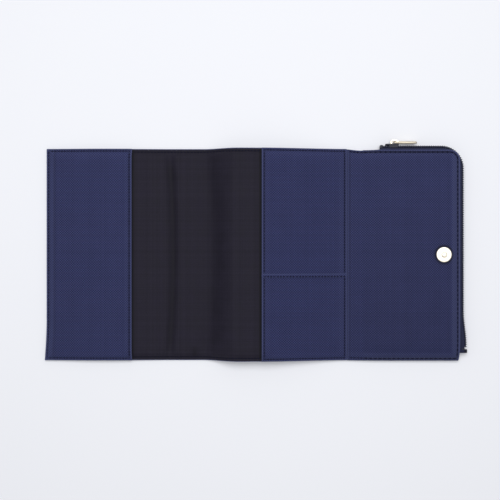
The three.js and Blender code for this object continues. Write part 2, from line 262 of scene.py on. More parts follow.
def slip_pocket(opening, wavelength, seed):
    """The surface of a slip pocket: it lies on the lining, and stands off it a little at its opening."""

    def mid(x, y):
        inside = smooth(edge_distance(x, y), 0, 6)
        lift = 0.35 + 0.75 * np.exp(-np.abs(x - opening) / 5.0)
        soft = 0.12 * ripple(x, y, wavelength, seed) * smooth(edge_distance(x, y), 2, 12)
        on_lining = lining_mid(x, y) + LINING / 2 + SEAL + CANVAS / 2
        return on_lining + lift * inside + np.maximum(soft, -0.2)

    return mid


cover_pocket_mid = slip_pocket(COVER_POCKET_EDGE, 45, 11)
slot_mid = slip_pocket(SLOT_EDGE, 40, 17)


def flap_inner_mid(x, y):
    """From the back's seam the cloth rises over the side strip to the flap. The two canvases are sewn
    together along the bottom and along the strip's top, and are apart at the zip."""
    low = CANVAS + SEAL + CANVAS / 2
    seam = LINING_TOP + 0.35
    centre = seam + (FLAP_TOP - CANVAS / 2 - seam) * smooth(x, SIDE_FOLD, FLAP_FOLD + 2)
    from_bottom = y - FLAP_BOTTOM
    from_top = FLAP_HIGH - y
    shut = 1 - smooth(x, FLAP_FOLD - 7, FLAP_FOLD + 3)
    open_share = quarter_round(from_bottom / 15) * (1 - shut * (1 - quarter_round(from_top / 9)))
    hang = smooth(from_bottom, 3, 20) * smooth(from_top, 3, 14) * smooth(RIGHT - x, 3, 14)
    soft = 0.16 * ripple(x, y, 38, 23) - 0.22 * bell(x, FLAP_FOLD + 3.0, 3.4)
    return low + (centre - low) * open_share + soft * hang * smooth(x, SIDE_FOLD, SIDE_FOLD + 8)


def flap_outer_mid(x, y):
    return np.full_like(x, CANVAS / 2)


# ---- mesh making


def add(name, data):
    """A new object in the scene."""
    made = bpy.data.objects.new(name, data)
    bpy.context.scene.collection.objects.link(made)
    return made


def new_mesh(name, points, faces):
    """A mesh object from points in millimetres."""
    mesh = bpy.data.meshes.new(name)
    mesh.from_pydata((np.asarray(points, float) * MM).tolist(), [], [list(map(int, f)) for f in faces])
    mesh.update()
    mesh.validate()
    mesh.shade_smooth()
    mesh.set_sharp_from_angle(angle=math.radians(62))
    return add(name, mesh)


def set_uv(piece, u, v):
    """One UV per vertex, in metres along the cloth."""
    mesh = piece.data
    layer = mesh.uv_layers.new(name="cloth")
    corner = np.zeros(len(mesh.loops), np.int32)
    mesh.loops.foreach_get("vertex_index", corner)
    pairs = np.column_stack([np.asarray(u)[corner], np.asarray(v)[corner]]) * MM
    layer.data.foreach_set("uv", pairs.astype(np.float32).ravel())


def set_value(piece, name, values):
    attribute = piece.data.attributes.new(name, "FLOAT", "POINT")
    attribute.data.foreach_set("value", np.asarray(values, np.float32))


def shell_faces(rows, columns):
    """Faces of a closed shell: a top grid, a bottom grid, and the strip of faces round their rim."""
    index = np.arange(rows * columns).reshape(rows, columns)
    quads = np.stack([index[:-1, :-1], index[1:, :-1], index[1:, 1:], index[:-1, 1:]], -1).reshape(-1, 4)
    under = quads[:, ::-1] + rows * columns
    rim = np.concatenate([index[:-1, 0], index[-1, :-1], index[:0:-1, -1], index[0, :0:-1]])
    after = np.roll(rim, -1)
    sides = np.stack([after, rim, rim + rows * columns, after + rows * columns], -1)
    return np.concatenate([quads, under, sides])


def hem_relief(distance):
    """Extra height along a turned and stitched edge: two layers thick, with a groove under the thread."""
    doubled = HEM_RISE * (1 - smooth(distance, HEM_WIDTH - 0.6, HEM_WIDTH + 0.6))
    return doubled - GROOVE_DEPTH * bell(distance, HEM, 0.5)


def stations(low, high, step, rims, radius):
    """Places along a panel: even inside, and close together near a rounded or hemmed end."""
    marks = list(np.linspace(low, high, max(2, round((high - low) / step) + 1)))
    turn = radius * (1 - np.cos(np.linspace(0, np.pi / 2, 5)))
    reach = min(HEM_WIDTH + 0.8, (high - low) / 2)
    near = np.concatenate([turn, np.arange(radius + 0.25, reach, HEM_STEP)])
    if rims[0]:
        marks = [m for m in marks if m > low + reach + 0.1] + list(low + near)
    if rims[1]:
        marks = [m for m in marks if m < high - reach - 0.1] + list(high - near)
    ordered = np.sort(np.array(marks))
    keep = np.concatenate([[True], np.diff(ordered) > 0.02])
    return ordered[keep]


def corner_warp(x, y):
    """Bends a square grid round the flap's outer top corner."""
    centre_x = RIGHT - FLAP_CORNER
    centre_y = FLAP_HIGH - FLAP_CORNER
    a = np.clip((x - centre_x) / FLAP_CORNER, 0, None)
    b = np.clip((y - centre_y) / FLAP_CORNER, 0, None)
    both = (a > 0) & (b > 0)
    scale = np.where(both, np.maximum(a, b) / np.sqrt(np.maximum(a * a + b * b, 1e-12)), 1)
    new_x = np.where(both, centre_x + a * scale * FLAP_CORNER, x)
    new_y = np.where(both, centre_y + b * scale * FLAP_CORNER, y)
    return new_x, new_y


NO_HEMS = (False, False, False, False)
LONG_HEMS = (False, False, True, True)
ALL_HEMS = (True, True, True, True)


def panel(name, xs, ys, mid, thick, x_rims, y_rims=(True, True), hems=NO_HEMS,
          warp=None, shade=None, step=1.3, hem_highlight=(0.1, 0.1, 0.1, 0.1), hem_groove_shade=0.5):
    """A sheet of cloth as a closed shell with rounded edges.

    x_rims and y_rims say which ends are rounded edges; the others are cut square, to meet the next piece.
    hems says which of left, right, bottom and top is a stitched hem; the last two arguments give how much
    painted highlight the raised band of each hem gets, and how much painted shade lies in the groove under
    its thread.
    shade adds more painted shade: in creases, beside seams and edges, round the snap, and towards the
    bottom.
    """
    radius = thick / 2
    xs = stations(xs[0], xs[1], step, x_rims, radius)
    ys = stations(ys[0], ys[1], step, y_rims, radius)
    x, y = np.meshgrid(xs, ys, indexing="ij")
    distances = (x - xs[0], xs[-1] - x, y - ys[0], ys[-1] - y)
    far = np.full_like(x, 1e3)
    rims = [distance if rim else far for distance, rim in zip(distances, (*x_rims, *y_rims))]
    nearest = np.minimum.reduce(rims)
    half = radius * quarter_round(nearest / radius) + 0.004
    sewn = [rim if hem else far for rim, hem in zip(rims, hems)]
    from_hem = np.minimum.reduce(sewn)
    extra = hem_relief(from_hem) * np.clip(nearest / radius, 0, 1)
    # Painted shade: darker in the groove under each hem's thread, and wherever shade adds painted shade.
    painted_shade = hem_groove_shade * bell(from_hem, HEM, 0.6)
    if shade is not None:
        painted_shade = np.maximum(painted_shade, shade(x, y))
    flat_x, flat_y = warp(x, y) if warp else (x, y)
    centre = np.stack([flat_x, flat_y, mid(x, y)], -1)
    normal = np.cross(np.gradient(centre, axis=0), np.gradient(centre, axis=1))
    normal /= np.linalg.norm(normal, axis=-1, keepdims=True)
    upper = centre + normal * (half + extra)[..., None]
    lower = centre - normal * half[..., None]
    points = np.concatenate([upper.reshape(-1, 3), lower.reshape(-1, 3)])
    piece = new_mesh(name, points, shell_faces(*x.shape))
    set_uv(piece, np.tile(flat_x.ravel(), 2), np.tile(flat_y.ravel(), 2))
    # The edge value: partly wear and partly painted highlight along the rounded edges, and painted highlight
    # on the raised band of each hem.
    doubled = [1 - smooth(distance, HEM_WIDTH - 0.2, HEM_WIDTH + 1.2) for distance in sewn]
    pale = [share * light for share, light in zip(doubled, hem_highlight)]
    wear_and_highlight = 1 - smooth(nearest, 0, 1.1) + np.maximum.reduce(pale)
    set_value(piece, "edge", np.tile(wear_and_highlight.ravel(), 2))
    set_value(piece, "painted_shade", np.tile(painted_shade.ravel(), 2))
    return piece


def ring_faces(rings, sides, closed=False):
    """Faces of a skin over a row of rings: capped at both ends, or joined into a loop."""
    index = np.arange(rings * sides).reshape(rings, sides)
    after = np.roll(index, -1, axis=1)
    if closed:
        index = np.vstack([index, index[:1]])
        after = np.vstack([after, after[:1]])
    quads = np.stack([index[:-1], after[:-1], after[1:], index[1:]], -1).reshape(-1, 4)
    faces = quads.tolist()
    if not closed:
        faces += [index[0, ::-1].tolist(), index[-1].tolist()]
    return faces


def line(start, end, pitch=FINE_PITCH):
    """A straight run of stitches: the middle of each."""
    start, end = np.array(start, float), np.array(end, float)
    length = np.linalg.norm(end - start)
    count = max(1, int(length / pitch))
    share = (np.arange(count) + 0.5) / count
    return start + (end - start) * share[:, None]


def corner_line(inset, start_x, end_y):
    """Stitches along the flap's top edge, round its corner and down its right edge."""
    centre = np.array([RIGHT - FLAP_CORNER, FLAP_HIGH - FLAP_CORNER])
    radius = FLAP_CORNER - inset
    count = int(radius * np.pi / 2 / COARSE_PITCH) + 1
    angle = np.pi / 2 * (1 - (np.arange(count) + 0.5) / count)
    arc = centre + radius * np.column_stack([np.cos(angle), np.sin(angle)])
    top = line((start_x, FLAP_HIGH - inset), (centre[0], FLAP_HIGH - inset), COARSE_PITCH)
    right = line((RIGHT - inset, centre[1]), (RIGHT - inset, end_y), COARSE_PITCH)
    return np.concatenate([top, arc, right])


def stitches(name, runs, surface, body, side=1, length=1.55, radius=0.34):
    """Short bowed threads, each sunk at its ends, along runs of places on a surface. side is 1 on top of the
    cloth and -1 under it."""
    rings, sides = 6, 6
    share = np.linspace(-1, 1, rings)[:, None]
    thick = radius * np.sqrt(1 - (np.abs(share) * 0.96) ** 6)
    angle = np.arange(sides) * 2 * np.pi / sides
    skin = ring_faces(rings, sides)
    points, faces = [], []
    for run in runs:
        x, y = run[:, 0], run[:, 1]
        step = 0.2
        slope_x = (surface(x + step, y) - surface(x - step, y)) / (2 * step)
        slope_y = (surface(x, y + step) - surface(x, y - step)) / (2 * step)
        ups = np.column_stack([-slope_x, -slope_y, np.ones_like(x)])
        ups /= np.linalg.norm(ups, axis=1, keepdims=True)
        centres = np.column_stack([x, y, surface(x, y)])
        alongs = np.gradient(centres, axis=0)
        alongs -= ups * (alongs * ups).sum(1)[:, None]
        alongs /= np.linalg.norm(alongs, axis=1, keepdims=True)
        for centre, along, up in zip(centres, alongs, ups * side):
            spine = centre + along * (share * length / 2) + up * (STITCH_BOW * (0.6 - share**2))
            ring = np.outer(np.cos(angle), np.cross(up, along)) + np.outer(np.sin(angle), up)
            faces += [[len(points) + corner for corner in face] for face in skin]
            points += list((spine[:, None] + ring * thick[:, None]).reshape(-1, 3))
    threads = new_mesh(name, points, faces)
    where = np.array(points)
    set_uv(threads, where[:, 0], where[:, 1])
    return finish_piece(threads, THREAD_LOOK, "canvas", body)


def tube(name, line, normals, radius, sides=7):
    """A round thread along a line, capped at both ends; normals point from the line's own axis."""
    along = np.gradient(line, axis=0)
    along /= np.linalg.norm(along, axis=1, keepdims=True)
    side = np.cross(along, normals)
    side /= np.linalg.norm(side, axis=1, keepdims=True)
    out = np.cross(side, along)
    angle = np.arange(sides) * 2 * np.pi / sides
    rings = line[:, None] + radius * (
        np.cos(angle)[None, :, None] * out[:, None] + np.sin(angle)[None, :, None] * side[:, None])
    return new_mesh(name, rings.reshape(-1, 3), ring_faces(len(line), sides))


def rounded(corners, radius, closed, points=4):
    """An outline with each corner turned into a short curve."""
    corners = np.array(corners, float)
    count = len(corners)
    made = []
    for k in range(count):
        if not closed and k in (0, count - 1):
            made.append(corners[k])
            continue
        here, before, after = corners[k], corners[k - 1], corners[(k + 1) % count]
        back, ahead = before - here, after - here
        reach_back = min(radius, np.linalg.norm(back) * 0.45)
        reach_ahead = min(radius, np.linalg.norm(ahead) * 0.45)
        start = here + back / np.linalg.norm(back) * reach_back
        end = here + ahead / np.linalg.norm(ahead) * reach_ahead
        for t in np.linspace(0, 1, points):
            made.append((1 - t) ** 2 * start + 2 * t * (1 - t) * here + t * t * end)
    return np.array(made)


def turned(name, profile, x, y, z, corner=0.18, closed=False, segments=96):
    """A lathe piece about a vertical axis; the profile is (radius, height) corners, from the axis to the
    axis, or round a ring when closed."""
    outline = rounded(profile, corner, closed)
    angle = np.arange(segments) * 2 * np.pi / segments
    ends = () if closed else (0, -1)
    for k in ends:
        outline[k, 0] = 0.02
    radius, height = outline[:, 0], outline[:, 1]
    rings = np.stack([
        x + np.outer(radius, np.cos(angle)),
        y + np.outer(radius, np.sin(angle)),
        z + np.repeat(height[:, None], segments, 1),
    ], -1)
    return new_mesh(name, rings.reshape(-1, 3), ring_faces(len(outline), segments, closed))


def pierce(piece, place, radius):
    """Cuts a round hole through a sheet."""
    bpy.ops.mesh.primitive_cylinder_add(vertices=64, radius=radius * MM, depth=0.06,
                                        location=(place[0] * MM, place[1] * MM, 0))
    cutter = bpy.context.object
    hole = piece.modifiers.new("hole", "BOOLEAN")
    hole.operation = "DIFFERENCE"
    hole.solver = "EXACT"
    hole.object = cutter
    graph = bpy.context.evaluated_depsgraph_get()
    made = bpy.data.meshes.new_from_object(piece.evaluated_get(graph))
    piece.modifiers.clear()
    piece.data = made
    bpy.data.objects.remove(cutter)


def zip_path(out, start_x, end_y, step):
    """Places and outward directions along the flap's edge, out millimetres outside its cloth: along the
    top, round the corner and down the right side, where the chain wanders outward near its tail."""
    centre = np.array([RIGHT - ZIP_CORNER, FLAP_HIGH - ZIP_CORNER])
    top = centre[0] - start_x
    arc = (ZIP_CORNER + out) * np.pi / 2
    right = centre[1] - end_y
    s = np.linspace(0, top + arc + right, int((top + arc + right) / step) + 1)
    angle = np.pi / 2 * (1 - np.clip((s - top) / arc, 0, 1))
    normal = np.column_stack([np.cos(angle), np.sin(angle)])
    place = centre + normal * (ZIP_CORNER + out)
    place[:, 0] -= np.clip(top - s, 0, None)
    place[:, 1] -= np.clip(s - top - arc, 0, None)
    place[:, 0] += TAIL_DRIFT * smooth(MID_Y - DRIFT_FROM - place[:, 1], 0, DRIFT_LENGTH)
    return place, normal, s


def between_canvases(place, height):
    """Heights from the flap's own layers, drawn in where its two canvases come together."""
    inside_x = np.minimum(place[:, 0], RIGHT - 1.5)
    inside_y = np.clip(place[:, 1], FLAP_BOTTOM + 1.5, FLAP_HIGH - 1.5)
    ceiling = flap_inner_mid(inside_x, inside_y) - CANVAS / 2
    share = np.minimum((ceiling - CANVAS) / (FLAP_TOP - 2 * CANVAS), 1)
    return CANVAS + (height - CANVAS) * share


def swept(name, profile, start_x, end_y, step=1.0):
    """A closed outline of (out, height) corners carried along the zip's path."""
    outline = rounded(profile, 0.12, True, 3)
    place, normal, s = zip_path(0, start_x, end_y, step)
    rings = []
    for out, height in outline:
        level = between_canvases(place, np.full(len(place), height))
        rings.append(np.column_stack([place + normal * out, level]))
    points = np.stack(rings, 1)
    piece = new_mesh(name, points.reshape(-1, 3), ring_faces(len(place), len(outline)))
    round_it = np.concatenate([[0], np.cumsum(np.linalg.norm(np.diff(outline, axis=0), axis=1))])
    set_uv(piece, np.repeat(s, len(outline)), np.tile(round_it, len(place)))
    return piece


def coil(name, heights, outs, start_x, end_y):
    """A coil of nylon thread along the zip: a flattened helix, one turn to a tooth."""
    middle_out, reach_out = (outs[0] + outs[1]) / 2, (outs[1] - outs[0]) / 2 - COIL_THREAD
    middle_z, reach_z = (heights[0] + heights[1]) / 2, (heights[1] - heights[0]) / 2 - COIL_THREAD
    place, normal, s = zip_path(middle_out, start_x, end_y, COIL_PITCH / 16)
    angle = 2 * np.pi * s / COIL_PITCH
    cos, sin = np.cos(angle), np.sin(angle)
    flat_out = np.sign(cos) * np.abs(cos) ** 0.6 * reach_out
    flat_z = np.sign(sin) * np.abs(sin) ** 0.6 * reach_z
    line = np.column_stack([place + normal * flat_out[:, None], middle_z + flat_z])
    line[:, 2] = between_canvases(place, line[:, 2])
    normals = np.column_stack([normal * cos[:, None], sin])
    return tube(name, line, normals, COIL_THREAD)


# ---- materials


class Shader:
    """A small helper that adds and links shader nodes."""

    def __init__(self, name):
        self.material = bpy.data.materials.new(name)
        self.material.use_nodes = True
        self.tree = self.material.node_tree
        self.principled = self.tree.nodes["Principled BSDF"]

    def set(self, **values):
        for key, value in values.items():
            self.principled.inputs[key.replace("_", " ")].default_value = value

    def node(self, kind, inputs=None, **settings):
        made = self.tree.nodes.new(kind)
        for key, value in settings.items():
            setattr(made, key, value)
        for key, value in (inputs or {}).items():
            if isinstance(value, bpy.types.NodeSocket):
                self.tree.links.new(value, made.inputs[key])
            else:
                made.inputs[key].default_value = value
        return made

    def math(self, operation, *values):
        return self.node("ShaderNodeMath", dict(enumerate(values)), operation=operation).outputs[0]

    def times(self, first, second):
        return self.math("MULTIPLY", first, second)

    def weighted(self, total, *parts):
        """The total, with each part's value times its weight added."""
        for value, weight in parts:
            total = self.math("MULTIPLY_ADD", value, weight, total)
        return total

    def mix(self, factor, first, second):
        """Goes from the first colour to the second; each is an output or a tuple of three."""
        first, second = [(*c, 1) if isinstance(c, tuple) else c for c in (first, second)]
        made = self.node("ShaderNodeMix", {0: factor, 6: first, 7: second}, data_type="RGBA")
        return made.outputs[2]

    def carried(self, name):
        """A value that the mesh carries."""
        return self.node("ShaderNodeAttribute", attribute_name=name).outputs["Fac"]

    def in_painted_shade(self, colour, shaded_colour):
        """The colour, mixed toward a shaded one where the mesh carries painted shade: in grooves, creases
        and shadows.
        """
        return self.mix(self.times(self.carried("painted_shade"), 0.85), colour, shaded_colour)

    def noise(self, place, scale, detail=2.0):
        inputs = {"Vector": place, "Scale": scale, "Detail": detail}
        return self.node("ShaderNodeTexNoise", inputs).outputs[0]

    def grain(self, scale, detail=2.0):
        """Noise in the piece's own metres."""
        return self.noise(self.node("ShaderNodeTexCoord").outputs["Object"], scale, detail)

    def bump(self, height, depth_mm, strength=1.0):
        inputs = {"Height": height, "Distance": depth_mm * MM, "Strength": strength}
        self.link(self.node("ShaderNodeBump", inputs).outputs[0], "Normal")

    def link(self, output, name):
        self.tree.links.new(output, self.principled.inputs[name])


def cloth_position(shader, per_metre):
    """The cloth's own coordinates, scaled, as two outputs."""
    place = shader.node("ShaderNodeUVMap", uv_map="cloth").outputs[0]
    scaled = shader.node("ShaderNodeVectorMath", {0: place, 3: per_metre}, operation="SCALE").outputs[0]
    parts = shader.node("ShaderNodeSeparateXYZ", {0: scaled})
    return scaled, parts.outputs[0], parts.outputs[1]


def plain_weave(shader, thread_mm):
    """A plain weave of round threads: its height from 0 to 1, which thread is on top, and its slubs."""
    _, u, v = cloth_position(shader, 1 / (thread_mm * MM))
    column = shader.math("FLOOR", u)
    row = shader.math("FLOOR", v)
    turn = shader.math("FLOORED_MODULO", shader.math("ADD", column, row), 2.0)

    def arch(value):
        centred = shader.math("SUBTRACT", shader.math("FRACT", value), 0.5)
        return shader.math("SUBTRACT", 1.0, shader.times(shader.times(centred, centred), 4.0))

    def thread(over, beside):
        return shader.times(shader.math("POWER", over, 0.6), shader.math("POWER", beside, 0.25))

    def uneven(number):
        return shader.node("ShaderNodeTexWhiteNoise", {"W": number}, noise_dimensions="1D").outputs[0]

    across, along = arch(u), arch(v)
    warp = shader.times(thread(across, along), shader.math("SUBTRACT", 1.0, turn))
    weft = shader.times(thread(along, across), turn)
    return shader.math("ADD", warp, weft), turn, shader.math("ADD", uneven(column), uneven(row))


def cloth_noise(shader, per_metre, detail=2.0):
    place, _, _ = cloth_position(shader, 1.0)
    return shader.noise(place, per_metre, detail)


def canvas_material(name, dark, light, wear_and_highlight, thread_mm=0.84, depth_mm=0.16, sheen=0.06):
    shader = Shader(name)
    height, turn, slub = plain_weave(shader, thread_mm)
    fibre = cloth_noise(shader, 5200.0, 3.0)
    patch = cloth_noise(shader, 70.0, 2.0)
    tone = shader.weighted(-0.65, (turn, 0.84), (height, 0.42), (slub, 0.08), (fibre, 0.3), (patch, 0.2))
    # Painted shade: the dark colour that shaded grooves, creases and edges are mixed toward.
    shaded_colour = tuple(0.25 * channel for channel in dark)
    colour = shader.in_painted_shade(shader.mix(tone, dark, light), shaded_colour)
    # Paler on thread tops where the mesh's edge value is high: partly wear, partly painted highlight.
    wear_and_highlight_share = shader.times(shader.carried("edge"), shader.times(height, 0.55))
    shader.link(shader.mix(wear_and_highlight_share, colour, wear_and_highlight), "Base Color")
    shader.link(shader.weighted(0.72, (height, -0.12)), "Roughness")
    shader.bump(shader.weighted(height, (fibre, 0.25)), depth_mm)
    shader.set(Sheen_Weight=sheen, Sheen_Roughness=0.5, Specular_IOR_Level=0.22)
    shader.set(Sheen_Tint=(0.6, 0.65, 1.0, 1))
    return shader.material


def lining_material():
    shader = Shader("lining_nylon")
    height, turn, slub = plain_weave(shader, 0.5)
    patch = cloth_noise(shader, 110.0, 3.0)
    tone = shader.weighted(-0.42, (turn, 0.5), (height, 0.3), (slub, 0.18), (patch, 0.5))
    colour = shader.mix(tone, (0.0045, 0.0035, 0.009), (0.02, 0.017, 0.033))
    # Painted shade: the nylon goes near black where the mesh carries shade.
    shader.link(shader.in_painted_shade(colour, (0.001, 0.001, 0.002)), "Base Color")
    shader.link(shader.weighted(0.6, (patch, 0.2)), "Roughness")
    shader.bump(height, 0.05)
    shader.set(Sheen_Weight=0.04, Sheen_Roughness=0.4, Specular_IOR_Level=0.2)
    return shader.material


def thread_material():
    """Sewing thread: its two plies show as a slanting twist."""
    shader = Shader("sewing_thread")
    _, u, v = cloth_position(shader, 1 / (0.42 * MM))
    twist = shader.math("SINE", shader.times(shader.math("ADD", u, v), 2 * math.pi))
    colour = shader.mix(shader.weighted(0.5, (twist, 0.5)), (0.003, 0.003, 0.012), (0.012, 0.013, 0.036))
    shader.link(colour, "Base Color")
    shader.bump(twist, 0.04, 0.8)
    shader.set(Roughness=0.8, Specular_IOR_Level=0.08)
    return shader.material


def metal_material(name, colour, roughness, dull):
    """Plated metal: a fine grain, and faint duller patches."""
    shader = Shader(name)
    patches = shader.grain(420.0, 4.0)
    shader.link(shader.weighted(roughness - 0.1, (patches, 0.2)), "Roughness")
    shader.link(shader.mix(patches, colour, dull), "Base Color")
    shader.bump(shader.grain(5000.0), 0.008, 0.6)
    shader.set(Metallic=1.0)
    return shader.material


def plastic_material(name, dark, light, roughness):
    shader = Shader(name)
    grain = shader.grain(900.0, 3.0)
    shader.link(shader.mix(grain, dark, light), "Base Color")
    shader.link(shader.weighted(roughness - 0.12, (grain, 0.25)), "Roughness")
    shader.bump(grain, 0.02, 0.5)
    return shader.material


def felt_material():
    shader = Shader("interlining_foam")
    fuzz = cloth_noise(shader, 1800.0, 4.0)
    shader.link(shader.mix(fuzz, (0.42, 0.41, 0.38), (0.6, 0.58, 0.55)), "Base Color")
    shader.bump(fuzz, 0.1)
    shader.set(Roughness=0.95)
    return shader.material


# The third colour of each canvas is the paler one of its edges: partly wear, partly painted highlight.
CANVAS_LOOK = canvas_material("navy_canvas", (0.007, 0.009, 0.04), (0.043, 0.052, 0.165), (0.1, 0.118, 0.25))
TAPE_LOOK = canvas_material("zip_tape_cloth", (0.006, 0.008, 0.024), (0.024, 0.029, 0.075),
                            (0.026, 0.03, 0.07), 0.5, 0.08, 0.03)
TAIL_LOOK = canvas_material("zip_tail_cloth", (0.003, 0.003, 0.008), (0.012, 0.013, 0.028),
                            (0.02, 0.02, 0.04), 0.5, 0.08, 0.1)
LINING_LOOK = lining_material()
THREAD_LOOK = thread_material()
FOAM_LOOK = felt_material()
COIL_LOOK = plastic_material("zip_coil_nylon", (0.01, 0.012, 0.03), (0.024, 0.028, 0.062), 0.45)
PAINT_LOOK = plastic_material("slider_enamel", (0.004, 0.005, 0.014), (0.009, 0.011, 0.026), 0.6)
SNAP_LOOK = metal_material("snap_pale_gold", (0.98, 0.93, 0.82), 0.5, (0.94, 0.87, 0.73))
PULL_LOOK = metal_material("pull_pale_gold", (0.74, 0.67, 0.54), 0.36, (0.64, 0.56, 0.42))


def finish_piece(piece, look, slot, body, *replaced):
    """Gives a piece its look and hides the CAD nodes that it stands for. A piece whose body is a name is
    attached to that body; one given a fold between two bodies is only baked in place. slot is not used."""
    piece.data.materials.clear()
    piece.data.materials.append(look)
    if replaced:
        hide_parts(*replaced)
    if isinstance(body, str):
        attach(piece, body)
    else:
        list(body)
        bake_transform(piece)
    return piece


def at(x):
    """A point of the row frame on the middle line, in metres."""
    return (x * MM, MID_Y * MM, 0)


def bend(before, after, x, reach):
    """Two bodies, and the ends of the zone over which the cloth between them turns."""
    return before, after, at(x - reach), at(x + reach)


COVER_BEND = bend("cover", "spine", COVER_FOLD, 5)
SPINE_BEND = bend("spine", "back", SPINE_FOLD, 5)
SIDE_BEND = bend("back", "side", SIDE_FOLD, 4)
FLAP_BEND = bend("side", "flap", FLAP_FOLD, 5)

BODY_Y = (BOTTOM, TOP)
FLAP_Y = (FLAP_BOTTOM, FLAP_HIGH)
CORNER_SPREAD = 1.3
SPREAD_HEIGHT = 26.0
SPREAD_WIDTH = 30.0


def cover_flare(x, y):
    """The cover's lower free corner is pulled a little outward."""
    low = np.clip((BOTTOM + SPREAD_HEIGHT - y) / SPREAD_HEIGHT, 0, 1) ** 1.5
    return x - CORNER_SPREAD * low * smooth(LEFT + SPREAD_WIDTH - x, 0, SPREAD_WIDTH), y


def flared(run):
    return np.column_stack(cover_flare(run[:, 0], run[:, 1]))


# ---- outer canvas

cover_shell = panel("cover_outer_canvas", (LEFT, MID_SPINE), BODY_Y, outer_mid, CANVAS, (True, False),
                    warp=cover_flare)
pierce(cover_shell, SOCKET, 3.2)
finish_piece(cover_shell, CANVAS_LOOK, "canvas", COVER_BEND, "cover_outer")

OUTER_JOIN = SIDE_FOLD - 12
back_shell = panel("back_outer_canvas", (MID_SPINE, OUTER_JOIN), BODY_Y, outer_mid, CANVAS, (False, False))
finish_piece(back_shell, CANVAS_LOOK, "canvas", SPINE_BEND, "back_outer", "spine_outer")


def side_warp(x, y):
    """The body narrows to the flap's height: softly along its top, and in a step along its bottom."""
    top = smooth(x, SIDE_FOLD - 4, SIDE_FOLD + 10)
    bottom = smooth(x, SIDE_FOLD - 0.5, SIDE_FOLD + 1.0)
    upper = HALF_BODY + (HALF_FLAP - HALF_BODY) * top
    lower = HALF_BODY + (MID_Y - FLAP_BOTTOM - HALF_BODY) * bottom
    return x, MID_Y + (y - MID_Y) * np.where(y > MID_Y, upper, lower) / HALF_BODY


side_shell = panel("side_outer_canvas", (OUTER_JOIN, MID_SIDE), BODY_Y, outer_mid, CANVAS, (False, False),
                   warp=side_warp)
finish_piece(side_shell, CANVAS_LOOK, "canvas", SIDE_BEND, "side_outer")

flap_shell = panel("flap_outer_canvas", (MID_SIDE, RIGHT), FLAP_Y, flap_outer_mid, CANVAS, (False, True),
                   warp=corner_warp)
finish_piece(flap_shell, CANVAS_LOOK, "canvas", FLAP_BEND, "flap_outer", "flap_bottom_seam")

# ---- lining

LINING_INSET = 0.5
LINING_Y = (BODY_Y[0] + LINING_INSET, BODY_Y[1] - LINING_INSET)
cover_lining = panel("cover_lining_cloth", (LEFT + LINING_INSET, MID_SPINE), LINING_Y, lining_mid, LINING,
                     (True, False), hems=LONG_HEMS, warp=cover_flare, shade=lining_shade, step=1.0)
finish_piece(cover_lining, LINING_LOOK, "lining", COVER_BEND, "cover_lining")

LINING_END = SIDE_FOLD - 0.8
back_lining = panel("back_lining_cloth", (MID_SPINE, LINING_END), LINING_Y, lining_mid, LINING,
                    (False, True), hems=LONG_HEMS, shade=lining_shade, step=1.0)
finish_piece(back_lining, LINING_LOOK, "lining", SPINE_BEND, "back_lining", "spine_lining")

# ---- padding


def padding_mid(x, y):
    return base(x) + CANVAS + 0.1 + PADDING / 2


PAD_INSET = 9.0
PAD_Y = (BODY_Y[0] + PAD_INSET, BODY_Y[1] - PAD_INSET)
cover_pad = panel("cover_padding", (LEFT + PAD_INSET, COVER_FOLD - 8), PAD_Y, padding_mid, PADDING,
                  (True, True), step=3.0)
pierce(cover_pad, SOCKET, 4.8)
finish_piece(cover_pad, FOAM_LOOK, "interlining", "cover", "cover_interlining")
back_pad = panel("back_padding", (SPINE_FOLD + 17, SIDE_FOLD - 4), PAD_Y, padding_mid, PADDING,
                 (True, True), step=3.0)
finish_piece(back_pad, FOAM_LOOK, "interlining", "back", "back_interlining")

# ---- slip pockets


def pocket_shade(x, y):
    """Painted shade: a faint dark line where the turned edge ends, and darker towards the bottom."""
    return np.maximum(0.45 * bell(x, LEFT + TURNED_EDGE, 0.6), 0.06 * downward(y))


# The cover pocket's hem at the cover's end gets the most painted highlight on its raised band.
cover_pocket = panel("cover_pocket_cloth", (LEFT + 0.15, COVER_POCKET_EDGE), BODY_Y, cover_pocket_mid,
                     CANVAS, (True, True), hems=ALL_HEMS, warp=cover_flare, shade=pocket_shade,
                     hem_highlight=(0.3, 0.08, 0.1, 0.1))
finish_piece(cover_pocket, CANVAS_LOOK, "canvas", "cover", "cover_pocket")

POCKET_END = SIDE_FOLD - 0.35
for slot_name, slot_y, slot_rims in (
    ("ticket_pocket", (DIVIDER + 0.1, TOP), (False, True)),
    ("card_pocket", (BOTTOM, DIVIDER - 0.1), (True, False)),
):
    pocket = panel(f"{slot_name}_cloth", (SLOT_EDGE, POCKET_END), slot_y, slot_mid, CANVAS, (True, True),
                   slot_rims, ALL_HEMS, shade=slot_shade)
    finish_piece(pocket, CANVAS_LOOK, "canvas", "back", slot_name)

DIVIDER_Y = (DIVIDER - 1.5, DIVIDER + 1.1)
FOLD_THICK = 0.8


def divider_mid(x, y):
    return slot_mid(x, y) + CANVAS / 2 + FOLD_THICK / 2 - 0.1


divider = panel("divider_fold", (SLOT_EDGE - 0.1, POCKET_END), DIVIDER_Y, divider_mid, FOLD_THICK,
                (True, True), step=0.8)
finish_piece(divider, CANVAS_LOOK, "canvas", "back", "pocket_divider")

# ---- side strip and flap, inner canvas

def side_shade(x, y):
    """Painted shade: a dark line in the groove beside its seam, and darker towards its bottom."""
    return np.maximum(0.45 * bell(x, SIDE_FOLD + 1.6, 0.5), 0.14 * downward(y))


